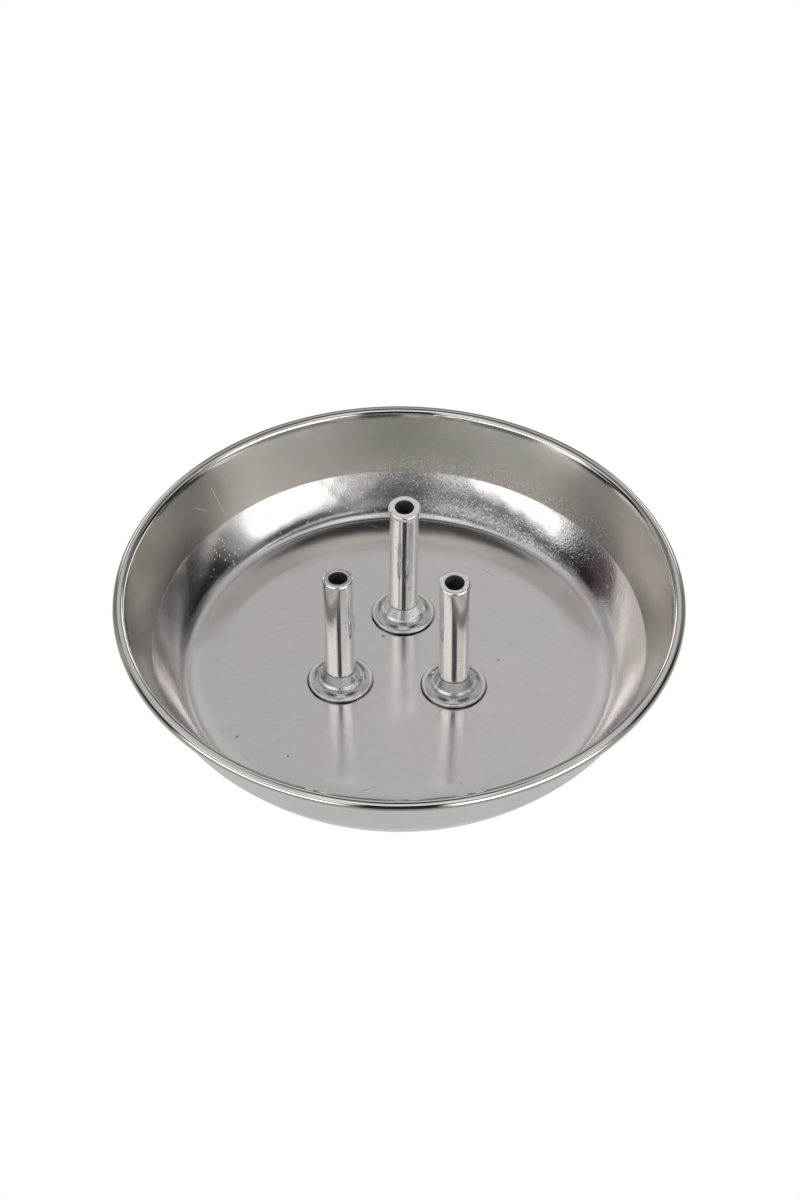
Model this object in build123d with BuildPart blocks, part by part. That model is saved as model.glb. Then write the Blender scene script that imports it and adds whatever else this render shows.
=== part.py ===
from build123d import *
from math import acos, atan2, cos, degrees, hypot, radians, sin
import os

# Round pressed-steel dish with a rolled rim. Three hollow upright posts stand on
# thin washers on its floor, and each post's tail is rolled over underneath.
# Frame: origin on the table plane under the dish's centre, +Z up, +Y to the back,
# millimetres. Sections are drawn as (radius, height).

# ---- dish ----
sheet_t = 0.5            # sheet thickness
rim_r = 50.0             # outermost radius, over the rolled rim
bead_r = 1.1             # outer radius of the rolled rim's section
bead_z = 18.5            # height of the rolled rim's centre
curl_end = -128.0        # angle where the curled sheet edge stops (0 = outwards)
base_r = 38.73           # inner radius where floor and lower band meet
band_top_r = 44.1        # inner radius where band and upper wall meet
band_top_z = 7.75        # inner height of that crease
foot_ring_w = 1.0        # width of the flat ring the dish stands on
floor_rise = 0.5         # how far the flat floor stands above that ring
floor_flat_r = 31.5      # radius where the floor starts to fall towards the ring
floor_bend = 26.0        # inner bend radius at that place
ring_bend = 8.0          # centre-line bend radius where the fall meets the ring
base_bend = 0.45         # inner bend radius, floor to band
band_sag = 0.38          # how far the bowed lower band stands outside its chord
band_bend = 0.9          # inner bend radius, band to wall
axis_overrun = 2.0       # how far the sheet is drawn past the axis before trimming

# ---- posts ----
post_sides = ("back", "left", "right")   # anticlockwise from above
post_circle_r = 11.75    # radius of the circle through the post axes
post_start = 86.5        # angle of the back post, from +X
post_h = 25.8            # top of a post above the floor
tube_r = 2.71            # outer radius
bore_r = 1.65            # bore radius
lip_round = 0.42         # rounding of the tube's outer lip
bore_round = 0.16        # rounding of the bore's two mouths
collar_r = 3.98          # radius of the collar
collar_h = 0.62          # collar thickness at its edge
collar_round = 0.22      # rounding of the collar's upper edge
cone_h = 1.95            # height of the cone between collar and tube
cone_out = 0.95          # how much wider than the tube the cone gets
cone_foot_h = 0.12       # height of the cone's widest place above the collar's edge
neck_r = 2.25            # neck that passes through washer and floor
tail_r = 3.15            # rolled tail under the floor
tail_h = 0.4

# ---- washers ----
washer_r = 5.75          # outer radius
washer_h = 0.8
washer_edge_h = 0.62     # thickness near the outer edge
washer_flat_margin = 0.1 # how far the flat top reaches beyond the collar
hole_clear = 0.05        # radial play of the neck in its holes

# ---- shared by the pieces ----
floor_under = floor_rise
floor_top = floor_under + sheet_t
washer_top = floor_top + washer_h
hole_r = neck_r + hole_clear


def save(part, name):
    part.label = name
    export_step(part, f"parts/{name}.step")


def crossing(p, p_angle, q, q_angle):
    """Where the line through p at p_angle meets the line through q at q_angle."""
    det = sin(q_angle - p_angle)
    along = ((q[0] - p[0]) * sin(q_angle) - (q[1] - p[1]) * cos(q_angle)) / det
    return (p[0] + along * cos(p_angle), p[1] + along * sin(p_angle))


def shifted(point, angle, distance):
    """The point moved square to a line at this angle, inwards if positive."""
    return (point[0] - distance * sin(angle), point[1] + distance * cos(angle))


def quarter_turn(centre, radius, start):
    """Start, middle and end of a clockwise quarter circle from the start angle."""
    angles = [radians(start - step) for step in (0, 45, 90)]
    return [(centre[0] + radius * cos(a), centre[1] + radius * sin(a)) for a in angles]


def build_dish_pan():
    half = sheet_t / 2
    crease = (band_top_r, band_top_z)
    band_angle = atan2(band_top_z - sheet_t, band_top_r - base_r)

    # the wall rises from the crease, tangent to the inner side of the bead
    bead = (rim_r - bead_r, bead_z)
    run, rise = bead[0] - crease[0], bead[1] - crease[1]
    wall_angle = atan2(rise, run) + radians(90) - acos(bead_r / hypot(run, rise))

    # corners of the sheet's centre line, half a thickness outside the inner surface
    band_on = shifted(crease, band_angle, -half)
    wall_on = shifted(crease, wall_angle, -half)
    fall_pt = (floor_flat_r, floor_top - half)
    ring_pt = (base_r - foot_ring_w, half)
    base_pt = crossing((0.0, half), 0.0, band_on, band_angle)
    band_pt = crossing(band_on, band_angle, wall_on, wall_angle)
    curl_r = bead_r - half
    wall_end = shifted(bead, wall_angle, curl_r)
    curl_start = degrees(wall_angle) + 90

    # middle of the lower band, slightly bowed outwards
    chord_mid = ((base_pt[0] + band_pt[0]) / 2, (base_pt[1] + band_pt[1]) / 2)
    chord_angle = atan2(band_pt[1] - base_pt[1], band_pt[0] - base_pt[0])
    band_mid = shifted(chord_mid, chord_angle, -band_sag)

    # corner and its centre-line bend radius
    bends = (
        (fall_pt, floor_bend + half),
        (ring_pt, ring_bend),
        (base_pt, base_bend + half),
        (band_pt, band_bend + half),
    )

    with BuildPart() as dish_pan:
        with BuildSketch(Plane.XZ):
            with BuildLine() as path:
                # started past the axis, so that the trimmed section ends square on it
                Line((-axis_overrun, floor_top - half), fall_pt)
                Line(fall_pt, ring_pt)
                Line(ring_pt, base_pt)
                ThreePointArc(base_pt, band_mid, band_pt)
                Line(band_pt, wall_end)
                CenterArc(bead, curl_r, curl_start, curl_end - curl_start)
                for corner, bend in bends:
                    fillet(
                        [
                            v for v in path.vertices()
                            if hypot(v.X - corner[0], v.Y - corner[1]) < 1e-4
                        ],
                        bend,
                    )
                offset(amount=half, side=Side.BOTH, mode=Mode.REPLACE)
            make_face()
            # trim away everything past the axis
            Rectangle(
                2 * axis_overrun, 10, align=(Align.MAX, Align.CENTER), mode=Mode.SUBTRACT
            )
        revolve(axis=Axis.Z)
        # clearance holes for the post necks
        with BuildSketch(Plane.XY):
            with PolarLocations(post_circle_r, len(post_sides), start_angle=post_start):
                Circle(hole_r)
        extrude(amount=floor_top + 1, mode=Mode.SUBTRACT)
    return dish_pan.part


def build_post(section):
    """Rolled tail, neck, collar, cone and tube, bored through."""
    post_top = floor_top + post_h
    collar_top = washer_top + collar_h
    cone_top = collar_top + cone_h
    tail_low = floor_under - tail_h
    roll_r = tail_h / 2
    roll_x = tail_r - roll_r
    bore_x = bore_r + bore_round

    bore_top = quarter_turn((bore_x, post_top - bore_round), bore_round, 180)
    lip = quarter_turn((tube_r - lip_round, post_top - lip_round), lip_round, 90)
    crest = quarter_turn(
        (collar_r - collar_round, collar_top - collar_round), collar_round, 90
    )
    bore_low = quarter_turn((bore_x, tail_low + bore_round), bore_round, 270)

    with BuildPart() as post:
        with BuildSketch(section):
            with BuildLine():
                Line(bore_low[-1], bore_top[0])
                ThreePointArc(*bore_top)
                Line(bore_top[-1], lip[0])
                ThreePointArc(*lip)
                # tube, cone and the slope from its foot to the collar's crest
                Polyline(
                    lip[-1],
                    (tube_r, cone_top),
                    (tube_r + cone_out, collar_top + cone_foot_h),
                    crest[0],
                )
                ThreePointArc(*crest)
                # collar edge, neck and the top of the tail
                Polyline(
                    crest[-1],
                    (collar_r, washer_top),
                    (neck_r, washer_top),
                    (neck_r, floor_under),
                    (roll_x, floor_under),
                )
                ThreePointArc(
                    (roll_x, floor_under), (tail_r, floor_under - roll_r), (roll_x, tail_low)
                )
                Line((roll_x, tail_low), bore_low[0])
                ThreePointArc(*bore_low)
            make_face()
        revolve(axis=Axis(section.origin, (0, 0, 1)))
    return post.part


def build_washer(section):
    """Washer between collar and floor, with a fully rounded outer edge."""
    edge_r = washer_edge_h / 2
    edge_x = washer_r - edge_r
    edge_top = (edge_x, floor_top + washer_edge_h)
    edge_low = (edge_x, floor_top)

    with BuildPart() as washer:
        with BuildSketch(section):
            with BuildLine():
                Polyline(
                    edge_low,
                    (hole_r, floor_top),
                    (hole_r, washer_top),
                    (collar_r + washer_flat_margin, washer_top),
                    edge_top,
                )
                ThreePointArc(edge_top, (washer_r, floor_top + edge_r), edge_low)
            make_face()
        revolve(axis=Axis(section.origin, (0, 0, 1)))
    return washer.part


os.makedirs("parts", exist_ok=True)

save(build_dish_pan(), "dish_pan")

for index, side in enumerate(post_sides):
    angle = radians(post_start + index * 360.0 / len(post_sides))
    # upright plane through the post's axis
    section = Plane(
        origin=(post_circle_r * cos(angle), post_circle_r * sin(angle), 0),
        x_dir=(1, 0, 0),
        z_dir=(0, -1, 0),
    )
    save(build_post(section), f"{side}_post")
    save(build_washer(section), f"{side}_washer")
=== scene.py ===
"""A round pressed-steel dish with a rolled rim and three riveted aluminium posts.

The dish's axis is Z, its lowest face is at z = 0, X points right and Y points to the back,
away from the camera. Each post stands on the dish's floor in its own washer. Lengths are in
millimetres up to the point where a mesh or a light is made.
"""
import math

import bmesh
import bpy
import numpy as np
from mathutils import Matrix, Vector
from mathutils.geometry import delaunay_2d_cdt


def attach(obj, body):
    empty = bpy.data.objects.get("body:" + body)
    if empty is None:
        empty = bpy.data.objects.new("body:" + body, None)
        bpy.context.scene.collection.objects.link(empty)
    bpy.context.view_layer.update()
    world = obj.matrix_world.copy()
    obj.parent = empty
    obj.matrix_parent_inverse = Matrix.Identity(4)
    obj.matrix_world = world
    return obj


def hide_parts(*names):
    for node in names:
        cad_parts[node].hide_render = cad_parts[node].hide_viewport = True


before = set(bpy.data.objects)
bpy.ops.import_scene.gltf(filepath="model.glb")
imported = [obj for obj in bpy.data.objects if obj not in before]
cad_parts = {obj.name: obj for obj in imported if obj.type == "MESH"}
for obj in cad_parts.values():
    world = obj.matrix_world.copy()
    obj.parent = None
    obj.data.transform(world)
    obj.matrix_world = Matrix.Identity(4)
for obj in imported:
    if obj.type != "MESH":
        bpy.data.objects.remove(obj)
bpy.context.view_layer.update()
MM = 0.001

# ---------------------------------------------------------------- dimensions (mm, degrees)
SHEET = 0.5              # thickness of the steel
RIM_R = 50.0
BEAD_R = 1.1             # the rolled bead on the rim
BEAD_CENTRE = (RIM_R - BEAD_R, 18.5)
CURL_END = -128.0        # where the curl stops, as an angle about the bead's centre
BAND_TOP = (44.1, 7.75)  # radius and height of the crease between band and wall
CREASE_R = 1.3
RISE = 0.5               # the flat floor stands this far above the ring at its edge
FLOOR = SHEET + RISE     # upper face of the flat floor
DISC_R = 18.0            # the floor's centre disc, which holds the three holes
FALL_R = 31.0            # from here the floor falls gently to the ring
FALL_BLEND = 1.6         # length over which the fall sets in
BEND_GUESS = 38.0        # first guess of the radius where the fall meets the bend
DISH_STEPS = 640
HOLE_STEPS = 64
DISC_PITCH = 0.9         # spacing of the disc's inner vertices

POST_CIRCLE = 11.75
HOLE_R = 2.3
TUBE_R = 2.71
BORE_R = 1.65
BORE_ROUND = 0.16        # rounding at both ends of the bore
NECK_R = 2.25            # the post inside washer and floor
COLLAR_R = 4.02
TAIL_R = 3.15            # the rolled end under the floor
TAIL_ROUND = 0.2
WASHER_R = 5.75
WASHER_ROLL = 0.29
WASHER_TOP = FLOOR + 0.8
COLLAR_TOP = WASHER_TOP + 0.62
POST_STEPS = 96
OVAL = 0.004             # share by which posts and washers are out of round
UNEVEN = 0.012           # waviness of their surface

# angle: place on the post circle. lip_round, lip_out: rounding of the top edge and how far it
# stands out. junction: height of the tube's foot. lean: drift in X and Y over 25 mm of
# height. tilt: slope of the top face along Y.
POSTS = {
    "back": dict(angle=86.5, height=26.5, lip_round=0.30, lip_out=0.17, junction=3.35,
                 lean=(0.15, 0.0), tilt=4.0, seed=21),
    "left": dict(angle=206.5, height=25.5, lip_round=0.46, lip_out=0.0, junction=3.45,
                 lean=(0.0, 0.0), tilt=-5.0, seed=31),
    "right": dict(angle=326.5, height=25.7, lip_round=0.42, lip_out=0.0, junction=3.45,
                  lean=(-0.36, 0.0), tilt=5.5, seed=37),
}


def on_post_circle(degrees):
    angle = math.radians(degrees)
    return (POST_CIRCLE * math.cos(angle), POST_CIRCLE * math.sin(angle))


CENTRES = {name: on_post_circle(post["angle"]) for name, post in POSTS.items()}

# Inner face of the lower band: length along it (mm), slope (degrees). It runs from the
# floor's fall, round the tight bend and up the bowed band to the crease under the wall.
BAND = [
    (-0.70, -4.75), (-0.50, 3.0), (-0.10, 18.0), (0.20, 28.0), (0.50, 35.0),
    (1.00, 40.5), (1.70, 45.5), (2.50, 49.0), (3.20, 51.5), (4.50, 54.5),
    (6.00, 56.5), (7.30, 58.5), (8.00, 60.0), (8.60, 61.5),
]
FALL_SLOPE = math.tan(math.radians(BAND[0][1]))


# ---------------------------------------------------------------- profile helpers
# A profile is a list of (radius, height) points.
def arc(centre, radius, start, end, count):
    angles = np.radians(np.linspace(start, end, count))
    return [
        (centre[0] + radius * math.cos(a), centre[1] + radius * math.sin(a)) for a in angles
    ]


def fillet(before, corner, after, radius, count):
    """Arc that rounds the corner of the path before-corner-after."""
    before, corner, after = (np.array(p, float) for p in (before, corner, after))
    back, ahead = before - corner, after - corner
    back, ahead = back / np.linalg.norm(back), ahead / np.linalg.norm(ahead)
    opening = math.acos(max(-1.0, min(1.0, float(back @ ahead))))
    cut = radius / math.tan(opening / 2)
    middle = back + ahead
    middle = middle / np.linalg.norm(middle)
    centre = corner + middle * (radius / math.sin(opening / 2))
    first, last = corner + back * cut - centre, corner + ahead * cut - centre
    start, end = math.atan2(first[1], first[0]), math.atan2(last[1], last[0])
    sweep = (end - start + math.pi) % (2 * math.pi) - math.pi
    angles = [start + sweep * k / (count - 1) for k in range(count)]
    return [
        (centre[0] + radius * math.cos(a), centre[1] + radius * math.sin(a)) for a in angles
    ]


def resample(points, step):
    """Splits every segment longer than step(its middle) into equal lengths."""
    out = [tuple(points[0])]
    for start, end in zip(points[:-1], points[1:]):
        start, end = np.array(start, float), np.array(end, float)
        length = float(np.linalg.norm(end - start))
        if length < 1e-6:
            continue
        count = max(1, int(math.ceil(length / step((start + end) / 2))))
        for j in range(1, count + 1):
            out.append(tuple(start + (end - start) * j / count))
    return out


def spaced(points, gap):
    """Indices of the points that lie more than gap(index) from the last one kept."""
    kept = [0]
    for i in range(1, len(points)):
        if np.linalg.norm(points[i] - points[kept[-1]]) > gap(i):
            kept.append(i)
    return kept


def tidy(points, step):
    """Drops repeated points, resamples the closed loop and turns it clockwise."""
    out = [points[i] for i in spaced(np.array(points), lambda i: 1e-4)]
    if math.hypot(out[0][0] - out[-1][0], out[0][1] - out[-1][1]) < 1e-4:
        out.pop()
    out = resample(out + [out[0]], step)[:-1]
    here = np.array(out)
    ahead = np.roll(here, -1, 0)
    if (here[:, 0] * ahead[:, 1] - ahead[:, 0] * here[:, 1]).sum() > 0:
        out = out[::-1]
    return out


def offset_path(path, distance):
    """The same path moved to its right-hand side."""
    along = np.gradient(path, axis=0)
    along /= np.linalg.norm(along, axis=1)[:, None]
    return path + distance * np.stack([along[:, 1], -along[:, 0]], 1)


def smooth(start, end, value):
    t = np.clip((value - start) / (end - start), 0, 1)
    return t * t * (3 - 2 * t)


def turn(count):
    """Equally spaced angles round the axis."""
    return np.arange(count) * 2 * math.pi / count


def waves(angles, size, orders, seed):
    """Smooth periodic variation around the axis."""
    rng = np.random.RandomState(seed)
    out = np.zeros_like(angles)
    for k in orders:
        wave = rng.uniform(0.4, 1.0) * np.cos(k * angles + rng.uniform(0, 2 * math.pi))
        out += wave / math.sqrt(len(orders))
    return size * out


# ---------------------------------------------------------------- mesh helpers
def make_mesh(name, verts, faces, attributes):
    mesh = bpy.data.meshes.new(name)
    mesh.from_pydata([tuple(v) for v in verts], [], faces)
    mesh.validate()
    bm = bmesh.new()
    bm.from_mesh(mesh)
    bmesh.ops.recalc_face_normals(bm, faces=bm.faces)
    bm.to_mesh(mesh)
    bm.free()
    mesh.polygons.foreach_set("use_smooth", [True] * len(mesh.polygons))
    for key, values in attributes.items():
        attribute = mesh.attributes.new(key, "FLOAT", "POINT")
        attribute.data.foreach_set("value", np.asarray(values, np.float32))
    mesh.update()
    obj = bpy.data.objects.new(name, mesh)
    bpy.context.scene.collection.objects.link(obj)
    return obj


def swept_faces(rows, steps, closed):
    """Faces of a swept grid: rows of the profile by steps around."""
    faces = []
    for i in range(rows if closed else rows - 1):
        i2 = (i + 1) % rows
        for j in range(steps):
            j2 = (j + 1) % steps
            faces.append((i * steps + j, i * steps + j2, i2 * steps + j2, i2 * steps + j))
    return faces


def register(obj, piece):
    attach(obj, "root")
    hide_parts(piece)


# ---------------------------------------------------------------- dish profile
def floor_height(radius):
    """Height of the floor's upper face out to the tight bend."""
    x = radius - FALL_R
    if x <= 0:
        return FLOOR
    if x < FALL_BLEND:
        return FLOOR + FALL_SLOPE * x * x / (2 * FALL_BLEND)
    return FLOOR + FALL_SLOPE * (x - FALL_BLEND / 2)


def band_curve(start, stretch):
    """The band's inner face from radius start on the floor, its lengths stretched."""
    stations, slopes = zip(*BAND)
    along = np.linspace(stations[0], stations[-1], 560)
    slope = np.radians(np.interp(along, stations, slopes))
    slope = np.convolve(np.pad(slope, 9, mode="edge"), np.ones(19) / 19, mode="valid")
    step = (along[1] - along[0]) * stretch
    middle = (slope[1:] + slope[:-1]) / 2
    radii = start + np.concatenate([[0], np.cumsum(np.cos(middle) * step)])
    heights = floor_height(start) + np.concatenate([[0], np.cumsum(np.sin(middle) * step)])
    return np.stack([radii, heights], 1)


def fit_band():
    """Start radius and points of the band, fitted so that it ends at BAND_TOP."""
    start, stretch = BEND_GUESS, 1.0
    for _ in range(40):
        curve = band_curve(start, stretch)
        radii, heights = curve[:, 0], curve[:, 1]
        stretch *= 1 + 0.5 * (BAND_TOP[1] - heights[-1]) / (heights[-1] - heights[0])
        start += 0.7 * (BAND_TOP[0] - radii[-1])
    curve = band_curve(start, stretch)
    kept = spaced(curve, lambda i: 0.09 if i < 110 else 0.3)
    return start, curve[kept[:-1]]


def dish_profile():
    """Profile from the disc's edge over the inner face, bead and underside back to the
    disc, with the number of the point at the tip of the curl."""
    # the wall runs from the crease to touch the bead's inner side
    dx, dz = BEAD_CENTRE[0] - BAND_TOP[0], BEAD_CENTRE[1] - BAND_TOP[1]
    wall = math.atan2(dz, dx) + math.pi / 2 - math.acos(BEAD_R / math.hypot(dx, dz))
    normal = (-math.sin(wall), math.cos(wall))
    curl_start = math.degrees(math.atan2(normal[1], normal[0]))
    touch = (BEAD_CENTRE[0] + BEAD_R * normal[0], BEAD_CENTRE[1] + BEAD_R * normal[1])

    bend_r, band = fit_band()
    radii = np.concatenate(
        [np.arange(DISC_R, FALL_R, 1.0), np.arange(FALL_R, bend_r - 0.2, 0.35)]
    )
    inner = [(float(r), floor_height(float(r))) for r in radii]
    inner += [tuple(p) for p in band]
    inner += fillet(band[-1], BAND_TOP, touch, CREASE_R, 7) + [touch]
    inner = np.array(resample(inner, lambda p: 0.36 if p[0] > BAND_TOP[0] else 1.1))

    under = offset_path(inner, SHEET)[::-1]
    kept = spaced(under, lambda i: 0.28 if under[i][0] > bend_r - 1 else 1.0)
    if kept[-1] != len(under) - 1:
        kept.append(len(under) - 1)
    under = under[kept]
    under[:, 1] = np.maximum(under[:, 1], 0.0)

    curl_outer = arc(BEAD_CENTRE, BEAD_R, curl_start, CURL_END, 60)
    curl_inner = arc(BEAD_CENTRE, BEAD_R - SHEET, CURL_END, curl_start, 26)
    middle_r, end = BEAD_R - SHEET / 2, math.radians(CURL_END)
    tip = arc(
        (BEAD_CENTRE[0] + middle_r * math.cos(end), BEAD_CENTRE[1] + middle_r * math.sin(end)),
        SHEET / 2, CURL_END, CURL_END - 180, 7,
    )
    profile = np.vstack([inner[:-1], curl_outer[:-1], tip[:-1], curl_inner[:-1], under])
    profile = profile[spaced(profile, lambda i: 2e-3)]
    tip_row = int(np.argmin(np.linalg.norm(profile - np.array(tip[3]), axis=1)))
    return profile, tip_row


# ---------------------------------------------------------------- dish
def uneven_sheet(radius, height, angles):
    """Grids of radius and height with the sheet's small irregularities added."""
    # the sheet bends as a whole, more so towards the rim; both faces move together
    rise = smooth(36.0, 50.0, radius)
    press = smooth(38.4, 39.4, radius) * (1 - smooth(43.6, 44.6, radius))
    coarse = waves(angles, size=0.010, orders=[17, 23, 29, 37, 44], seed=5)
    fine = waves(angles, size=0.007, orders=[53, 61, 71, 83], seed=6)
    ripple = coarse * np.sin(height * 0.9 + 0.6) + fine * np.cos(height * 1.7)
    shift_r = rise * waves(angles, size=0.05, orders=[2, 3, 5], seed=2) + press * ripple
    shift_z = rise * waves(angles, size=0.035, orders=[2, 3, 4, 7], seed=3)
    # the rolled bead isn't perfectly even
    bead = smooth(17.0, 17.9, height)
    shift_z = shift_z + bead * waves(angles, size=0.012, orders=[19, 27, 41, 58], seed=9)
    shift_r = shift_r + bead * waves(angles, size=0.010, orders=[15, 33, 47], seed=10)
    # a small knock on the bead's inner lip, at the back left
    knock_r, knock_z, knock_angle, knock_depth = 48.5, 19.35, math.radians(140.8), 0.11
    arc_r = 49.0  # turns the angle into a length along the rim
    knock = (
        np.exp(-(((angles - knock_angle) * arc_r / 0.35) ** 2))
        * np.exp(-(((height - knock_z) / 0.32) ** 2))
        * np.exp(-(((radius - knock_r) / 0.5) ** 2))
    )
    return radius + shift_r, height + (shift_z - knock_depth * knock)


def in_hole(x, y, radius):
    return any(math.hypot(x - cx, y - cy) < radius for cx, cy in CENTRES.values())


def disc_layout():
    """Flat triangulation of the centre disc around its holes: the points, the triangles,
    the points along the disc's edge and those along each hole."""
    points = []
    edges = []
    loops = []

    def add_loop(centre, radius, angles):
        first, count = len(points), len(angles)
        for a in angles:
            x, y = centre[0] + radius * math.cos(a), centre[1] + radius * math.sin(a)
            points.append(Vector((x, y)))
        edges.extend((first + i, first + (i + 1) % count) for i in range(count))
        loops.append(range(first, first + count))

    add_loop((0.0, 0.0), DISC_R, turn(DISH_STEPS))
    for centre in CENTRES.values():
        add_loop(centre, HOLE_R, turn(HOLE_STEPS))
    for j in range(-24, 25):
        for i in range(-24, 25):
            x, y = (i + 0.5 * (j % 2)) * DISC_PITCH, j * DISC_PITCH * math.sqrt(3) / 2
            if math.hypot(x, y) <= DISC_R - 0.45 and not in_hole(x, y, HOLE_R + 0.35):
                points.append(Vector((x, y)))

    flat, _, cells, sources, *_ = delaunay_2d_cdt(points, edges, [], 0, 1e-7)
    hole_inside = HOLE_R * math.cos(math.pi / HOLE_STEPS) - 1e-4
    triangles = []
    for cell in cells:
        x = sum(flat[i][0] for i in cell) / len(cell)
        y = sum(flat[i][1] for i in cell) / len(cell)
        if math.hypot(x, y) <= DISC_R and not in_hole(x, y, hole_inside):
            triangles.append(tuple(cell))
    renumbered = {old: new for new, olds in enumerate(sources) for old in olds}
    rim, *holes = [[renumbered[i] for i in loop] for loop in loops]
    return flat, triangles, rim, holes


def disc_vertices(verts, flat, rim, height, row):
    """Adds one disc's vertices to verts. Its rim is the swept grid's own row."""
    numbers = {point: row * DISH_STEPS + j for j, point in enumerate(rim)}
    for i in range(len(flat)):
        if i not in numbers:
            numbers[i] = len(verts)
            verts.append((flat[i][0], flat[i][1], height))
    return numbers


def counterclockwise(cell, flat):
    corners = [flat[i] for i in cell]
    area = sum(
        a[0] * b[1] - b[0] * a[1] for a, b in zip(corners, corners[1:] + corners[:1])
    )
    return cell if area > 0 else cell[::-1]


def make_dish():
    profile, tip_row = dish_profile()
    rows = len(profile)
    lengths = np.linalg.norm(np.diff(profile, axis=0), axis=1)
    run = np.concatenate([[0], np.cumsum(lengths)])
    angles = np.repeat(turn(DISH_STEPS)[None, :], rows, 0)
    radius = np.repeat(profile[:, 0][:, None], DISH_STEPS, 1)
    height = np.repeat(profile[:, 1][:, None], DISH_STEPS, 1)
    radius, height = uneven_sheet(radius, height, angles)
    swept = np.stack([radius * np.cos(angles), radius * np.sin(angles), height], 2)
    verts = list(map(tuple, swept.reshape(-1, 3)))
    swept_count = len(verts)
    faces = swept_faces(rows, DISH_STEPS, closed=False)

    # centre discs, above and below, joined through the holes
    flat, triangles, rim, holes = disc_layout()
    top = disc_vertices(verts, flat, rim, FLOOR, 0)
    low = disc_vertices(verts, flat, rim, RISE, rows - 1)
    for cell in triangles:
        cell = counterclockwise(cell, flat)
        faces.append(tuple(top[i] for i in cell))
        faces.append(tuple(low[i] for i in cell[::-1]))
    for hole in holes:
        for a, b in zip(hole, hole[1:] + hole[:1]):
            faces.append((top[a], top[b], low[b], low[a]))

    # weights of the zones on the inner face and bead, for the material
    verts = np.array(verts)
    reach = np.hypot(verts[:, 0], verts[:, 1])
    z = verts[:, 2]
    swept_top = np.repeat((np.arange(rows) <= tip_row).astype(float), DISH_STEPS)
    on_top = np.concatenate([swept_top, (z[swept_count:] > RISE + 0.25).astype(float)])
    past_bend = smooth(38.3, 38.9, reach)
    past_crease = smooth(43.9, 44.35, reach)
    bead = on_top * np.maximum(smooth(17.9, 18.5, z), smooth(48.1, 48.5, reach))
    return make_mesh("dish_shell", verts * MM, faces, {
        "w_floor": on_top * (1 - past_bend),
        "w_band": on_top * past_bend * (1 - past_crease),
        "w_wall": on_top * past_crease * (1 - bead),
        "w_bead": bead,
        "run": np.concatenate([np.repeat(run, DISH_STEPS), np.zeros(len(verts) - swept_count)]),
    })


dish = make_dish()
register(dish, "dish_pan")


# ---------------------------------------------------------------- posts and washers
def lathe(name, profile, centre, oval_at, seed, lean=(0.0, 0.0), tilt=0.0):
    """Closed ring of revolution, a little uneven, about a vertical axis through centre."""
    outline = np.array(profile)
    top = outline[:, 1].max()
    angles = turn(POST_STEPS)
    radius = np.repeat(outline[:, 0][:, None], POST_STEPS, 1)
    height = np.repeat(outline[:, 1][:, None], POST_STEPS, 1)
    out = radius * (1 + OVAL * np.cos(2 * (angles - oval_at)))[None, :]
    out = out + waves(angles, size=UNEVEN, orders=[3, 5, 8, 13], seed=seed)[None, :]
    lift = waves(angles, size=0.5 * UNEVEN, orders=[2, 4, 7, 11], seed=seed + 1)
    height = height + lift[None, :] * (radius > BORE_R + 0.3)
    drift = (height - FLOOR) / 25.0
    slope = math.tan(math.radians(tilt)) * out * np.sin(angles)[None, :]
    height = height + slope * smooth(-4.0, -0.5, height - top)
    x = centre[0] + out * np.cos(angles)[None, :] + lean[0] * drift
    y = centre[1] + out * np.sin(angles)[None, :] + lean[1] * drift
    verts = np.stack([x, y, height], 2).reshape(-1, 3)
    faces = swept_faces(len(outline), POST_STEPS, closed=True)
    return make_mesh(name, verts * MM, faces, {
        "w_bore": np.repeat((outline[:, 0] < BORE_R + 0.06).astype(float), POST_STEPS),
        "w_lip": np.repeat(smooth(-0.75, -0.25, outline[:, 1] - top), POST_STEPS),
        "w_edge": smooth(5.05, 5.35, radius).reshape(-1),
    })


def post_profile(height, lip_round, lip_out, junction):
    top = FLOOR + height
    tail_low = RISE - 2 * TAIL_ROUND
    bore_in = BORE_R + BORE_ROUND
    # bore, upwards
    points = [(BORE_R, tail_low + BORE_ROUND), (BORE_R, top - BORE_ROUND)]
    points += arc((bore_in, top - BORE_ROUND), BORE_ROUND, 180, 90, 7)
    # lip
    lip_r, lip_low = TUBE_R + lip_out, top - lip_round
    points += arc((lip_r - lip_round, lip_low), lip_round, 90, 0, 12)
    if lip_out:
        points += [(lip_r, lip_low - 0.05)]
        points += [(TUBE_R + lip_out * 0.35, lip_low - 0.30), (TUBE_R, lip_low - 0.55)]
    else:
        points += [(TUBE_R, lip_low - 0.2)]
    # tube down to the flare: small concave bend, straight cone, shallow valley, collar crest
    foot = (TUBE_R, FLOOR + junction)
    above_foot = (TUBE_R, FLOOR + junction + 0.5)
    cone_low = (3.62, FLOOR + 1.78)
    crest = (COLLAR_R, COLLAR_TOP + 0.02)
    points += [above_foot]
    points += fillet(above_foot, foot, cone_low, 0.22, 6)
    points += fillet(foot, cone_low, crest, 0.35, 6)
    points += fillet(cone_low, crest, (COLLAR_R, WASHER_TOP), 0.16, 7)
    points += [(COLLAR_R, WASHER_TOP + 0.08), (3.95, WASHER_TOP)]
    # neck through washer and floor, then the rolled tail
    points += [(NECK_R + 0.1, WASHER_TOP), (NECK_R, WASHER_TOP - 0.05)]
    points += [(NECK_R, RISE + 0.03), (NECK_R + 0.03, RISE), (TAIL_R - TAIL_ROUND, RISE)]
    points += arc((TAIL_R - TAIL_ROUND, RISE - TAIL_ROUND), TAIL_ROUND, 90, -90, 10)
    points += [(bore_in, tail_low)]
    points += arc((bore_in, tail_low + BORE_ROUND), BORE_ROUND, 270, 180, 6)
    return tidy(points, lambda p: 0.55 if p[1] > FLOOR + 5 else 0.3)


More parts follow.
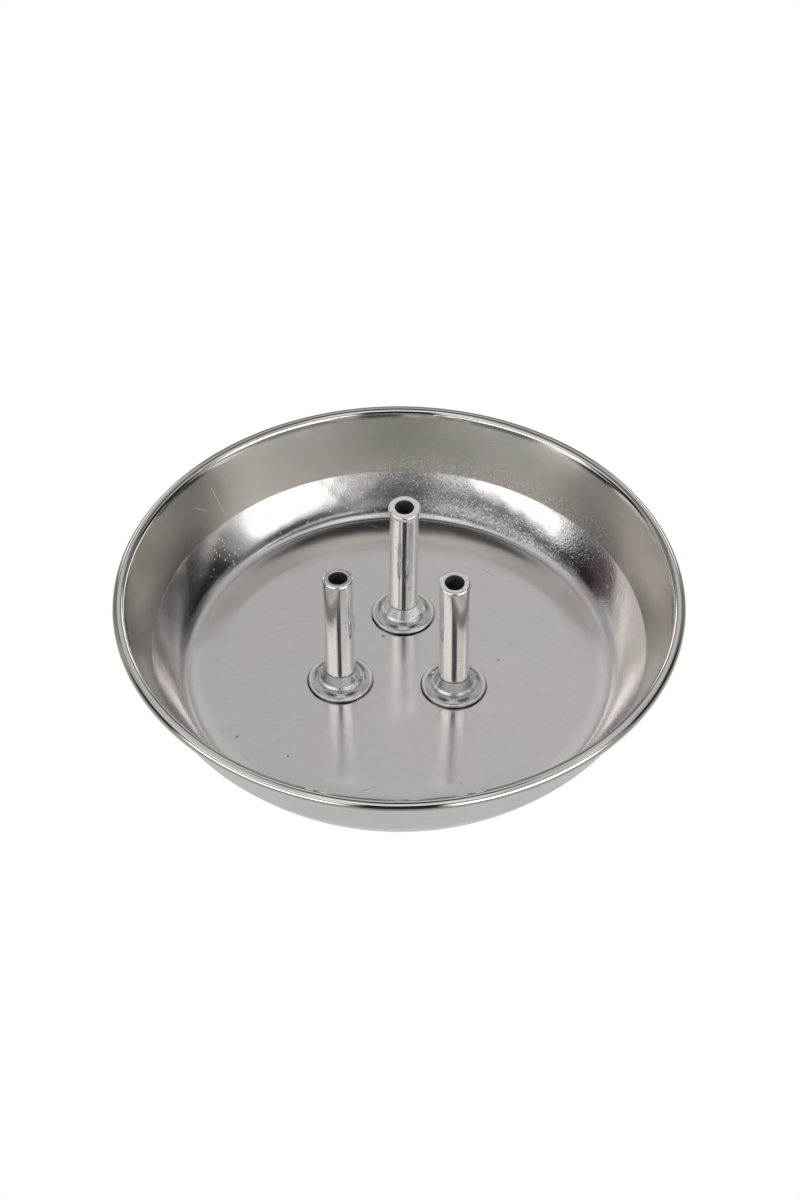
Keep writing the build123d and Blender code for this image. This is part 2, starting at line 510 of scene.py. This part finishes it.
def washer_profile():
    hole_in = HOLE_R + 0.04
    points = [(HOLE_R, FLOOR + 0.04), (HOLE_R, WASHER_TOP - 0.04), (hole_in, WASHER_TOP)]
    # seat under the collar, shallow dish, raised rolled edge
    points += [(4.05, WASHER_TOP), (4.3, WASHER_TOP - 0.05), (4.6, WASHER_TOP - 0.14)]
    points += [(4.9, WASHER_TOP - 0.20), (5.15, WASHER_TOP - 0.21)]
    points += arc((WASHER_R - WASHER_ROLL, FLOOR + 0.40), WASHER_ROLL, 100, -90, 16)
    points += [(5.0, FLOOR + 0.06), (4.6, FLOOR), (hole_in, FLOOR)]
    return tidy(points, lambda p: 0.3)


tubes = []
brims = []
for name, post in POSTS.items():
    angle = math.radians(post["angle"])
    shape = post_profile(post["height"], post["lip_round"], post["lip_out"], post["junction"])
    tube = lathe(f"{name}_tube", shape, CENTRES[name], angle + 0.5, post["seed"],
                 lean=post["lean"], tilt=post["tilt"])
    register(tube, f"{name}_post")
    tubes.append(tube)
    brim = lathe(f"{name}_brim", washer_profile(), CENTRES[name], angle, post["seed"] + 5)
    register(brim, f"{name}_washer")
    brims.append(brim)


# ---------------------------------------------------------------- node helpers
class Net:
    """Short calls for wiring shader nodes. Inputs may be sockets or plain values."""

    def __init__(self, tree):
        self.tree = tree
        tree.nodes.clear()

    def new(self, kind, **props):
        node = self.tree.nodes.new(kind)
        for key, value in props.items():
            setattr(node, key, value)
        return node

    def put(self, socket, value):
        if isinstance(value, bpy.types.NodeSocket):
            self.tree.links.new(value, socket)
        else:
            socket.default_value = value

    def math(self, op, *values, clamp=False):
        node = self.new("ShaderNodeMath", operation=op, use_clamp=clamp)
        for socket, value in zip(node.inputs, values):
            self.put(socket, value)
        return node.outputs[0]

    def chain(self, op, values):
        out = values[0]
        for value in values[1:]:
            out = self.math(op, out, value)
        return out

    def add(self, *values):
        return self.chain("ADD", values)

    def minus(self, *values):
        return self.chain("SUBTRACT", values)

    def most(self, *values):
        return self.chain("MAXIMUM", values)

    def times(self, *values, by=None):
        """Product of the values and, if given, of the strength by."""
        return self.chain("MULTIPLY", values if by is None else (*values, by))

    def inverse(self, value):
        return self.minus(1.0, value)

    def dim(self, tone, share):
        """The tone with this share of it taken away."""
        return self.times(tone, self.inverse(share))

    def swing(self, noise, by):
        """Noise moved to lie about zero and scaled."""
        return self.times(self.minus(noise, 0.5), by=by)

    def gap(self, value, centre):
        return self.math("ABSOLUTE", self.minus(value, centre))

    def vmath(self, op, first, second):
        node = self.new("ShaderNodeVectorMath", operation=op)
        self.put(node.inputs[0], first)
        self.put(node.inputs["Scale"] if op == "SCALE" else node.inputs[1], second)
        return node.outputs[1 if op == "DOT_PRODUCT" else 0]

    def length(self, vector):
        node = self.new("ShaderNodeVectorMath", operation="LENGTH")
        self.put(node.inputs[0], vector)
        return node.outputs[1]

    def distance(self, pos, centre):
        return self.length(self.vmath("SUBTRACT", pos, centre))

    def ramp(self, value, start, end, low=0.0, high=1.0, soft=True):
        """low at start to high at end."""
        kind = "SMOOTHSTEP" if soft else "LINEAR"
        node = self.new("ShaderNodeMapRange", interpolation_type=kind, clamp=True)
        self.put(node.inputs["Value"], value)
        self.put(node.inputs["From Min"], start)
        self.put(node.inputs["From Max"], end)
        self.put(node.inputs["To Min"], low)
        self.put(node.inputs["To Max"], high)
        return node.outputs[0]

    def fade(self, value, start, end, top=1.0):
        """top at start to 0 at end."""
        return self.ramp(value, start, end, low=top, high=0.0)

    def near(self, pos, centre, full, none):
        """1 within full of centre, 0 beyond none."""
        return self.fade(self.distance(pos, centre), start=full, end=none)

    def near_line(self, pos, start, end, width):
        """1 on the line from start to end, 0 beyond 1.25 widths."""
        start, end = Vector(start), Vector(end)
        line = end - start
        offset = self.vmath("SUBTRACT", pos, tuple(start))
        dot = self.vmath("DOT_PRODUCT", offset, tuple(line))
        share = self.math("DIVIDE", dot, line.length_squared, clamp=True)
        foot = self.vmath("SCALE", tuple(line), share)
        return self.fade(self.distance(offset, foot), start=width * 0.3, end=width * 1.25)

    def noise(self, vector, scale, detail, rough):
        node = self.new("ShaderNodeTexNoise", noise_dimensions="3D")
        self.put(node.inputs["Vector"], vector)
        self.put(node.inputs["Scale"], scale)
        self.put(node.inputs["Detail"], detail)
        self.put(node.inputs["Roughness"], rough)
        return node.outputs["Fac"]

    def voronoi(self, vector, scale):
        node = self.new("ShaderNodeTexVoronoi", feature="F1")
        self.put(node.inputs["Vector"], vector)
        self.put(node.inputs["Scale"], scale)
        return node.outputs["Distance"]

    def mix(self, share, first, second):
        """Colour mix."""
        node = self.new("ShaderNodeMix", data_type="RGBA")
        self.put(node.inputs[0], share)
        self.put(node.inputs[6], first)
        self.put(node.inputs[7], second)
        return node.outputs[2]

    def tint(self, base, colour, mask, strength=None):
        return self.mix(self.times(mask, by=strength), base, colour)

    def camera_or(self, seen, others):
        """The value seen for camera rays, others for all other rays."""
        path = self.new("ShaderNodeLightPath")
        node = self.new("ShaderNodeMix", data_type="FLOAT")
        self.put(node.inputs[0], path.outputs["Is Camera Ray"])
        self.put(node.inputs[2], others)
        self.put(node.inputs[3], seen)
        return node.outputs[0]

    def split(self, vector):
        node = self.new("ShaderNodeSeparateXYZ")
        self.put(node.inputs[0], vector)
        return node.outputs

    def join(self, *values):
        node = self.new("ShaderNodeCombineXYZ")
        for socket, value in zip(node.inputs, values):
            self.put(socket, value)
        return node.outputs[0]

    def attr(self, name):
        return self.new("ShaderNodeAttribute", attribute_name=name).outputs["Fac"]

    def bump(self, height, distance):
        node = self.new("ShaderNodeBump")
        self.put(node.inputs["Strength"], 1.0)
        self.put(node.inputs["Distance"], distance)
        self.put(node.inputs["Height"], height)
        return node.outputs[0]


def start_material(name):
    """A metal with its node net, its shader and the object position in mm."""
    mat = bpy.data.materials.new(name)
    mat.use_nodes = True
    net = Net(mat.node_tree)
    out = net.new("ShaderNodeOutputMaterial")
    bsdf = net.new("ShaderNodeBsdfPrincipled")
    net.put(bsdf.inputs["Metallic"], 1.0)
    net.put(out.inputs[0], bsdf.outputs[0])
    place = net.new("ShaderNodeTexCoord").outputs["Object"]
    return mat, net, bsdf, net.vmath("SCALE", place, 1000.0)


# ---------------------------------------------------------------- dish material
# steel colours; the pairs are mixed by a wide noise
FLOOR_A, FLOOR_B = (0.738, 0.710, 0.690, 1), (0.758, 0.711, 0.702, 1)
WALL_A, WALL_B = (0.665, 0.654, 0.612, 1), (0.680, 0.652, 0.622, 1)
BEAD_STEEL = (0.76, 0.735, 0.69, 1)
WARM = (0.60, 0.445, 0.47, 1)
# painted dark reflection for the far left of the band
LEFT_DARK_REFLECTION = (0.30, 0.292, 0.28, 1)
# painted shade for the band just above the floor
LOW_BAND_SHADE = (0.26, 0.254, 0.245, 1)
# painted dark reflection for the middle of the band's back
BACK_BAND_DARK_REFLECTION = (0.36, 0.352, 0.34, 1)
# painted light for the floor's outer ring
FLOOR_RING_LIGHT = (0.96, 0.93, 0.915, 1)
# painted light for the wall's left and right
FLANK_LIGHT = (0.86, 0.84, 0.79, 1)
# painted light for the right of the band
RIGHT_BAND_LIGHT = (0.93, 0.905, 0.89, 1)
GLINT = (0.98, 0.97, 0.94, 1)
# roughness: a base, and what each zone adds to it
R_BASE, R_FLOOR, R_WALL, R_BEAD = 0.12, 0.03, 0.11, -0.06
R_BAND_LEFT, R_BAND_RIGHT = 0.01, 0.0
# strength of the orange peel on the left and right of the band, and of its coarse part
PEEL_LEFT, PEEL_RIGHT, PEEL_COARSE = 0.25, 0.8, 0.8
RELIEF = 0.00003  # bump distance in metres, also for the tubes

# small dark specks on the floor: centre, radius
SPECKS = [
    ((-28.33, -18.69, 1.0), 0.42), ((-29.01, -21.92, 1.0), 0.30),
    ((-19.23, -23.27, 1.0), 0.26), ((17.92, -0.22, 1.0), 0.30),
    ((-2.98, 5.79, 1.0), 0.34), ((10.63, -29.3, 1.0), 0.22),
]
# hairline scratches: start, end, width, strength (positive bright, with a painted highlight;
# negative dark)
SCRATCHES = [
    ((-36.70, 30.72, 18.3), (-34.96, 30.46, 14.24), 0.11, 1.0),
    ((-34.96, 30.46, 14.24), (-33.32, 30.00, 9.85), 0.12, 1.0),
    ((-38.54, 25.95, 14.52), (-36.06, 27.80, 11.85), 0.09, 0.5),
    ((-36.06, 27.80, 11.85), (-34.3, 29.2, 10.9), 0.060, 0.35),
    ((10.96, 25.20, 1.0), (13.39, 23.29, 1.0), 0.090, -0.45),
    ((14.92, 24.12, 1.0), (17.88, 21.67, 1.0), 0.090, -0.40),
    ((-6.88, 36.66, 0.6), (-4.35, 35.53, 0.7), 0.080, 0.55),
    ((-6.12, -31.10, 1.0), (-3.75, -29.99, 1.0), 0.080, -0.35),
    ((-37.82, 15.88, 3.59), (-36.03, 19.46, 3.49), 0.075, 0.50),
    ((-20.54, 9.34, 1.0), (-22.91, 8.56, 1.0), 0.080, -0.25),
]


def on_inner(net):
    """1 on the dish's inner face, 0 underneath."""
    return net.add(*(net.attr(key) for key in ("w_floor", "w_band", "w_wall")))


def steel_and_painted_light(net, pos, radius, right, zones):
    """Warm grey steel with wide faint tints, duller on the wall, with painted shade, dark
    reflections and light on the band, floor and wall.
    """
    x, y, z = net.split_pos
    floor, band, wall, bead = zones
    wide = net.noise(pos, scale=0.045, detail=2.0, rough=0.5)
    base = net.mix(net.ramp(wide, start=0.35, end=0.65), FLOOR_A, FLOOR_B)
    wide = net.noise(pos, scale=0.06, detail=2.0, rough=0.5)
    base = net.mix(wall, base, net.mix(net.ramp(wide, start=0.35, end=0.65), WALL_A, WALL_B))
    base = net.mix(bead, base, BEAD_STEEL)
    # heat tint at the back right of the band
    mask = net.times(net.near(pos, (36.6, 18.6, 3.3), full=2.5, none=7.5), on_inner(net))
    base = net.tint(base, WARM, mask, strength=0.70)
    # painted dark reflection on the far left of the band
    mask = net.times(net.near(pos, (-40.0, 10.5, 4.6), full=3.0, none=11.0), band)
    base = net.tint(base, LEFT_DARK_REFLECTION, mask, strength=0.85)
    # painted shade just above the floor, along the back, reaching higher on the right
    reach = net.ramp(right, start=0.0, end=1.0, low=2.3, high=3.8)
    mask = net.times(
        band,
        net.fade(z, start=1.3, end=reach),
        net.ramp(z, start=0.9, end=1.25),
        net.ramp(y, start=17.0, end=25.0),
    )
    base = net.tint(base, LOW_BAND_SHADE, mask, strength=0.9)
    # painted dark reflection in the middle of the band's back
    middle = net.fade(net.gap(x, 0.8), start=2.0, end=8.5)
    mask = net.times(band, middle, net.ramp(y, start=18.0, end=24.0))
    base = net.tint(base, BACK_BAND_DARK_REFLECTION, mask, strength=0.75)
    # painted light: a paler ring at the floor's edge, except at the back
    outer = net.ramp(radius, start=35.2, end=36.8)
    mask = net.times(floor, outer, net.fade(y, start=20.0, end=27.0))
    base = net.tint(base, FLOOR_RING_LIGHT, mask, strength=0.35)
    # painted light: paler wall on the left and right
    flank = net.ramp(net.math("ABSOLUTE", x), start=41.5, end=45.5)
    mask = net.times(wall, flank, net.fade(y, start=5.0, end=15.0))
    base = net.tint(base, FLANK_LIGHT, mask, strength=0.6)
    # painted light: paler metal on the right of the band
    mask = net.times(net.near(pos, (41.0, -3.0, 3.5), full=6.0, none=20.0), band)
    return net.tint(base, RIGHT_BAND_LIGHT, mask)


def dirt_and_shade_mask(net, pos, radius, floor, bead):
    """Dirt specks, and painted shade in a line round each washer and along the rolled rim's
    seam.
    """
    x, y, _ = net.split_pos
    dirt_and_shade = 0.0
    wobble = net.swing(net.noise(pos, scale=2.2, detail=2.0, rough=0.6), by=0.5)
    for centre, size in SPECKS:
        away = net.add(net.distance(pos, centre), wobble)
        dirt_and_shade = net.most(dirt_and_shade, net.fade(away, start=size * 0.2, end=size * 1.3, top=0.5))
    # painted shade, with some grime, where each washer's edge meets the floor
    for centre in CENTRES.values():
        away = net.distance(pos, (*centre, FLOOR))
        away = net.add(away, net.times(wobble, by=0.25))
        washer_shade = net.fade(away, start=5.86, end=6.10, top=0.92)
        patchy = net.noise(pos, scale=0.13, detail=1.0, rough=0.5)
        washer_shade = net.times(washer_shade, floor, net.ramp(patchy, start=0.42, end=0.58, low=0.35))
        dirt_and_shade = net.most(dirt_and_shade, washer_shade)
    # painted shade in the rim's seam, shown along the back and weaker behind the middle
    seam_shade = net.fade(net.gap(radius, 48.50), start=0.08, end=0.26)
    sides = net.ramp(net.math("ABSOLUTE", x), start=6.0, end=20.0, low=0.35)
    place = net.times(net.ramp(y, start=-4.0, end=14.0), sides)
    return net.most(dirt_and_shade, net.times(seam_shade, place, bead, by=0.72))


def scratch_masks(net, pos, tone):
    """All scratches, the bright ones, which get a painted highlight, and the tone darkened by
    the others.
    """
    cuts = 0.0
    bright = 0.0
    patchy = net.noise(pos, scale=1.7, detail=2.0, rough=0.6)
    broken = net.ramp(patchy, start=0.30, end=0.50, low=0.5)
    for start, end, width, strength in SCRATCHES:
        line = net.near_line(pos, start, end, width)
        line = net.times(line, broken, by=abs(strength))
        cuts = net.most(cuts, line)
        if strength > 0:
            bright = net.most(bright, line)
        else:
            tone = net.dim(tone, net.times(line, by=0.5))
    return cuts, bright, tone


def pit_mask(net, pos, band):
    """Tiny pits in the band, bright with a painted highlight, thickest at one place on the back
    left.
    """
    pit = net.fade(net.voronoi(pos, scale=1.15), start=0.10, end=0.23)
    patchy = net.noise(pos, scale=0.9, detail=0.0, rough=0.5)
    chance = net.ramp(patchy, start=0.56, end=0.62)
    patch = net.near(pos, (-33.2, 24.6, 3.8), full=2.0, none=6.0)
    return net.times(pit, band, net.most(net.times(patch, by=1.0), net.times(chance, by=0.35)))


def pan_material():
    mat, net, bsdf, pos = start_material("drawn_steel")
    net.split_pos = x, y, z = net.split(pos)
    radius = net.math("SQRT", net.add(net.times(x, x), net.times(y, y)))
    zones = [net.attr(key) for key in ("w_floor", "w_band", "w_wall", "w_bead")]
    floor, band, wall, bead = zones
    right = net.ramp(x, start=-14.0, end=10.0)
    back = net.ramp(y, start=-6.0, end=14.0)
    base = steel_and_painted_light(net, pos, radius, right, zones)

    # fine cloudy marks, the wide ones stretched along X as from wiping
    wiped = net.vmath("MULTIPLY", pos, (0.35, 1.0, 1.0))
    cloud = net.noise(wiped, scale=0.22, detail=4.0, rough=0.6)
    fine = net.noise(pos, scale=1.3, detail=3.0, rough=0.65)
    mottle = net.add(net.swing(fine, by=0.10), net.swing(cloud, by=0.16))
    tone = net.add(1.0, net.times(net.inverse(bead), mottle))
    # the floor is a little darker on the left
    tone = net.dim(tone, net.times(floor, net.fade(x, start=-30.0, end=20.0, top=0.06)))
    # dirt specks, and painted shade round the washers and in the rim's seam
    dirt_and_shade = dirt_and_shade_mask(net, pos, radius, floor, bead)
    tone = net.dim(tone, dirt_and_shade)
    cuts, bright, tone = scratch_masks(net, pos, tone)
    pit = pit_mask(net, pos, band)

    # speckle on the back right of the band, running a little up the wall: orange-peel relief,
    # with painted glints and dark specks
    light = net.noise(pos, scale=2.1, detail=3.0, rough=0.8)
    light = net.ramp(light, start=0.50, end=0.66)
    shifted = net.vmath("ADD", pos, (31.0, 7.0, 3.0))
    dark = net.noise(shifted, scale=2.4, detail=2.0, rough=0.7)
    dark = net.fade(dark, start=0.36, end=0.50)
    up_wall = net.times(wall, net.ramp(z, start=13.0, end=8.0), by=0.6)
    place = net.times(right, back, net.add(band, up_wall))
    patchy = net.noise(pos, scale=0.25, detail=2.0, rough=0.6)
    place = net.times(place, net.ramp(patchy, start=0.30, end=0.55, low=0.45))
    # a calmer stretch inside it
    core = net.times(
        net.ramp(x, start=10.0, end=17.0),
        net.fade(x, start=28.0, end=32.0),
        net.ramp(z, start=2.6, end=5.0),
        band,
    )
    calm = net.inverse(net.times(core, by=0.85))
    place = net.times(place, calm, net.ramp(y, start=19.0, end=24.0))
    # painted dark specks of the speckle
    tone = net.dim(tone, net.times(place, dark, by=0.34))
    glint = net.times(place, light)
    base = net.vmath("MULTIPLY", base, net.join(tone, tone, tone))
    # painted highlights on the bright scratches, the pits and the speckle
    base = net.tint(base, GLINT, net.most(bright, pit, glint))
    net.put(bsdf.inputs["Base Color"], base)

    # roughness, raised in the bend at the floor's edge except at the back
    bend = net.times(
        net.ramp(radius, start=37.2, end=38.0),
        net.fade(radius, start=39.3, end=40.0),
        net.fade(y, start=24.0, end=31.0),
        on_inner(net),
    )
    clouded = net.ramp(cloud, start=0.3, end=0.7, low=R_FLOOR, high=R_FLOOR + 0.05)
    across = net.ramp(
        right, start=0.0, end=1.0, low=R_BAND_LEFT, high=R_BAND_RIGHT, soft=False
    )
    rough = net.add(
        R_BASE,
        net.times(floor, clouded),
        net.times(band, across),
        net.times(wall, by=R_WALL),
        net.times(bead, by=R_BEAD),
        net.times(net.most(bright, pit), by=0.35),
        net.times(glint, by=0.22),
        net.times(dirt_and_shade, by=0.3),
        net.times(bend, by=0.20),
    )
    net.put(bsdf.inputs["Roughness"], rough)

    # relief: orange peel on the band, coarse on the right, running a little up the wall
    peel = net.noise(pos, scale=2.7, detail=2.0, rough=0.65)
    coarse = net.noise(pos, scale=1.9, detail=3.0, rough=0.75)
    grain = net.ramp(right, start=0.0, end=1.0, low=PEEL_LEFT, high=PEEL_RIGHT, soft=False)
    low_wall = net.times(wall, net.ramp(z, start=13.5, end=8.0), right, back, by=0.28)
    everywhere = 0.004
    amount = net.add(everywhere, net.times(band, grain, calm), low_wall)
    # hairlines left by turning, round the bead and the wall: noise drawn out along the turn
    along, across = 1.5, 4.0
    turned = net.join(
        net.times(net.math("ARCTAN2", y, x), by=along),
        net.times(radius, by=across),
        net.times(z, by=across),
    )
    lines = net.noise(turned, scale=1.0, detail=3.0, rough=0.6)
    slow = net.noise(pos, scale=0.16, detail=2.0, rough=0.5)
    height = net.add(
        net.times(peel, amount),
        net.times(coarse, place, by=PEEL_COARSE),
        net.times(lines, net.add(net.times(wall, by=0.05), net.times(bead, by=0.06))),
        net.times(slow, floor, by=0.35),
    )
    height = net.minus(height, net.times(cuts, by=0.8), net.times(pit, by=1.2))
    net.put(bsdf.inputs["Normal"], net.bump(height, distance=RELIEF))
    return mat


# ---------------------------------------------------------------- tube material
# colour pairs are mixed by noise
TUBE_A, TUBE_B = (0.95, 0.94, 0.92, 1), (0.98, 0.97, 0.95, 1)
CONE_A, CONE_B = (0.90, 0.90, 0.89, 1), (0.98, 0.98, 0.97, 1)
# painted shade for the inside of the bore
BORE_A, BORE_B = (0.045, 0.044, 0.042, 1), (0.12, 0.115, 0.11, 1)
# painted shade for the crease at the tube's foot
CREASE_SHADE = (0.20, 0.19, 0.18, 1)
NICK = (0.30, 0.29, 0.28, 1)
R_TUBE = 0.10


def tube_material():
    mat, net, bsdf, pos = start_material("drawn_aluminium")
    z = net.split(pos)[2]
    # pale granular cone below the tube, with painted shade in the crease where they meet
    foot = net.fade(z, start=FLOOR + 3.25, end=FLOOR + 3.55)
    crease_shade = net.fade(net.gap(z, FLOOR + 3.44), start=0.05, end=0.16)
    grit = net.noise(pos, scale=2.6, detail=3.0, rough=0.7)
    tube = net.mix(net.noise(pos, scale=0.4, detail=2.0, rough=0.5), TUBE_A, TUBE_B)
    cone = net.mix(net.ramp(grit, start=0.35, end=0.7), CONE_A, CONE_B)
    base = net.mix(foot, tube, cone)
    base = net.tint(base, CREASE_SHADE, crease_shade, strength=0.8)
    # a few short dark nicks
    squashed = net.vmath("MULTIPLY", pos, (1.0, 1.0, 2.2))
    nick = net.noise(squashed, scale=0.9, detail=1.0, rough=0.5)
    base = net.tint(base, NICK, net.ramp(nick, start=0.70, end=0.74), strength=0.35)
    # painted shade inside the bore
    bore = net.attr("w_bore")
    bore_shade = net.mix(net.noise(pos, scale=1.4, detail=3.0, rough=0.6), BORE_A, BORE_B)
    net.put(bsdf.inputs["Base Color"], net.mix(bore, base, bore_shade))
    net.put(bsdf.inputs["Metallic"], net.inverse(net.times(bore, by=0.9)))
    rough = net.add(
        R_TUBE,
        net.times(foot, net.ramp(grit, start=0.3, end=0.7, low=0.11, high=0.19)),
        net.times(bore, by=0.45),
        net.times(net.attr("w_lip"), by=0.10),
    )
    net.put(bsdf.inputs["Roughness"], rough)
    # drawing marks run along the tube; the foot and the lip are granular
    stretched = net.vmath("MULTIPLY", pos, (1.0, 1.0, 0.03))
    drawn = net.noise(stretched, scale=2.4, detail=3.0, rough=0.65)
    height = net.add(
        net.times(drawn, net.inverse(foot), by=0.10),
        net.times(grit, foot, by=0.10),
        net.times(grit, net.attr("w_lip"), by=0.35),
    )
    net.put(bsdf.inputs["Normal"], net.bump(height, distance=RELIEF))
    return mat


# ---------------------------------------------------------------- washer material
BRIM_A, BRIM_B = (0.52, 0.51, 0.49, 1), (0.66, 0.65, 0.63, 1)
SPOT = (0.16, 0.15, 0.14, 1)
# painted highlight for the washer's rolled edge
BRIM_EDGE_HIGHLIGHT = (0.93, 0.92, 0.90, 1)


def brim_material():
    mat, net, bsdf, pos = start_material("pressed_washer")
    x = net.split(pos)[0]
    grit = net.noise(pos, scale=1.9, detail=3.0, rough=0.7)
    base = net.mix(net.ramp(grit, start=0.35, end=0.7), BRIM_A, BRIM_B)
    # speckled patch on the right-hand washer
    spots = net.fade(net.voronoi(pos, scale=1.6), start=0.15, end=0.32)
    patch = net.ramp(x, start=12.0, end=14.5)
    base = net.tint(base, SPOT, net.times(spots, patch), strength=0.55)
    # painted highlight on the washer's raised rolled edge
    base = net.tint(base, BRIM_EDGE_HIGHLIGHT, net.attr("w_edge"), strength=0.85)
    net.put(bsdf.inputs["Base Color"], base)
    rough = net.ramp(grit, start=0.3, end=0.7, low=0.12, high=0.19)
    net.put(bsdf.inputs["Roughness"], rough)
    net.put(bsdf.inputs["Normal"], net.bump(grit, distance=0.0000025))
    return mat


for make, objects in ((pan_material, [dish]), (tube_material, tubes), (brim_material, brims)):
    mat = make()
    for obj in objects:
        obj.data.materials.append(mat)


# ---------------------------------------------------------------- studio floor
FLOOR_HALF = 3.0      # metres
FLOOR_DROP = 0.00002  # keeps it clear of the dish's lowest face


def studio_floor():
    """White to the camera; as a light it is dimmer, and dimmest away from the dish."""
    half = FLOOR_HALF
    mesh = bpy.data.meshes.new("studio_floor")
    corners = [(-half, -half, 0), (half, -half, 0), (half, half, 0), (-half, half, 0)]
    mesh.from_pydata(corners, [], [(0, 1, 2, 3)])
    obj = bpy.data.objects.new("studio_floor", mesh)
    obj.location.z = -FLOOR_DROP
    bpy.context.scene.collection.objects.link(obj)
    mat = bpy.data.materials.new("studio_floor")
    mat.use_nodes = True
    net = Net(mat.node_tree)
    out = net.new("ShaderNodeOutputMaterial")
    glow = net.new("ShaderNodeEmission")
    away = net.length(net.new("ShaderNodeNewGeometry").outputs["Position"])
    level = net.ramp(away, start=0.062, end=0.10, low=0.60, high=0.30)
    net.put(glow.inputs["Strength"], net.camera_or(seen=1.0, others=level))
    net.put(out.inputs[0], glow.outputs[0])
    mesh.materials.append(mat)


studio_floor()

# ---------------------------------------------------------------- studio light
# A white tent with two large softboxes behind the camera, left and right, dark flags beside
# them and the camera's own dark gap between them. Azimuth 0 is away from the camera, + to the
# right. Each entry covers what comes before it.
TENT = 0.54
BACKDROP = 1.25  # level that the camera sees directly
PANELS = [
    # azimuth, elevation, half width, half height, edge in azimuth, edge in elevation, level
    (0.0, 10.0, 58.0, 26.0, 10.0, 4.0, 0.24),       # shaded backdrop
    (-28.0, 18.0, 9.0, 7.0, 4.0, 3.0, 2.00),        # two small lamps on it
    (28.0, 18.0, 9.0, 7.0, 4.0, 3.0, 2.00),
    (0.0, 79.0, 52.0, 17.0, 8.0, 3.0, 0.05),        # opening in the tent's roof
    (0.0, 51.5, 48.0, 12.5, 14.0, 3.0, 0.74),       # upper backdrop
    (-78.0, 61.0, 30.0, 9.0, 10.0, 3.0, 0.85),      # white sides
    (78.0, 61.0, 30.0, 9.0, 10.0, 3.0, 0.85),
    (-80.0, 45.0, 12.0, 7.0, 6.0, 3.0, 0.95),
    (82.0, 46.0, 12.0, 6.0, 6.0, 3.0, 0.70),
    (180.0, 71.0, 80.0, 8.0, 15.0, 2.5, 1.10),      # white ceiling in front
    (180.0, 60.0, 46.0, 6.0, 12.0, 2.0, 1.25),      # white strip over the camera
    (-131.0, 27.0, 34.0, 7.0, 7.0, 3.0, 0.22),      # grey gap over the left softbox
    (-133.0, 50.0, 42.0, 4.0, 8.0, 1.5, 0.10),      # dark belts
    (135.0, 51.5, 42.0, 3.5, 7.0, 1.5, 0.10),
    (-124.0, 40.0, 32.0, 5.0, 8.0, 1.5, 1.40),      # bright strips under them
    (-157.0, 39.5, 12.0, 5.0, 5.0, 1.5, 1.40),
    (-128.0, 47.3, 36.0, 2.3, 7.0, 1.2, 1.60),
    (126.0, 47.3, 36.0, 2.3, 7.0, 1.2, 2.00),
    (140.0, 40.0, 31.0, 5.0, 6.0, 2.0, 0.08),       # dark shelf over the right softbox
    (-131.0, -4.0, 30.0, 25.0, 7.0, 5.0, 2.40),     # left softbox
    (136.0, 4.0, 27.0, 26.0, 8.0, 6.0, 2.60),       # right softbox
    (-86.0, 6.0, 15.0, 23.0, 6.0, 6.0, 0.03),       # left flag
    (76.0, 8.0, 20.0, 24.0, 8.0, 5.0, 0.03),        # right flag
    (180.0, 18.0, 16.0, 36.0, 4.0, 3.0, 0.03),      # camera
]


def studio_light():
    world = bpy.data.worlds.new("studio")
    bpy.context.scene.world = world
    world.use_nodes = True
    net = Net(world.node_tree)
    out = net.new("ShaderNodeOutputWorld")
    background = net.new("ShaderNodeBackground")
    x, y, z = net.split(net.new("ShaderNodeTexCoord").outputs["Generated"])
    to_degrees = 180 / math.pi
    azimuth = net.times(net.math("ARCTAN2", x, y), by=to_degrees)
    elevation = net.times(net.math("ARCSINE", z), by=to_degrees)
    total = TENT
    for at_az, at_el, half_az, half_el, edge_az, edge_el, level in PANELS:
        off_az = net.math("WRAP", net.minus(azimuth, at_az), 180.0, -180.0)
        off_az = net.math("ABSOLUTE", off_az)
        off_el = net.gap(elevation, at_el)
        mask = net.times(
            net.fade(off_az, start=half_az - edge_az, end=half_az + edge_az),
            net.fade(off_el, start=half_el - edge_el, end=half_el + edge_el),
        )
        total = net.math("MULTIPLY_ADD", mask, net.minus(level, total), total)
    net.put(background.inputs["Strength"], net.camera_or(seen=BACKDROP, others=total))
    net.put(out.inputs[0], background.outputs[0])


studio_light()

# ---------------------------------------------------------------- camera
# angles in radians, lengths in metres
CAM_ELEVATION = 0.81104
CAM_PITCH = 0.02985  # aims this far above the origin
CAM_YAW = 0.00051
CAM_ROLL = 0.00218
CAM_DISTANCE = 0.370
CAM_SIDE = -0.0000618
CAM_LIFT = 0.0005


def turned(first, second, angle):
    """Two square axes turned in their plane, the first towards the second."""
    return (
        first * math.cos(angle) + second * math.sin(angle),
        second * math.cos(angle) - first * math.sin(angle),
    )


def make_camera():
    sine, cosine = math.sin(CAM_ELEVATION), math.cos(CAM_ELEVATION)
    ahead = np.array([0, cosine, -sine])
    right = np.array([1.0, 0, 0])
    up = np.cross(right, ahead)
    ahead, up = turned(ahead, up, CAM_PITCH)
    ahead, right = turned(ahead, right, CAM_YAW)
    right, up = turned(right, up, CAM_ROLL)
    data = bpy.data.cameras.new("view")
    data.sensor_width = 36.0
    data.lens = 61.11
    data.clip_start = 0.01
    camera = bpy.data.objects.new("view", data)
    bpy.context.scene.collection.objects.link(camera)
    place = (CAM_SIDE, -CAM_DISTANCE * cosine, CAM_DISTANCE * sine + CAM_LIFT)
    rotation = Matrix((right, up, -ahead)).transposed()
    camera.matrix_world = Matrix.Translation(place) @ rotation.to_4x4()
    bpy.context.scene.camera = camera


make_camera()
bpy.context.scene.view_settings.view_transform = "Standard"
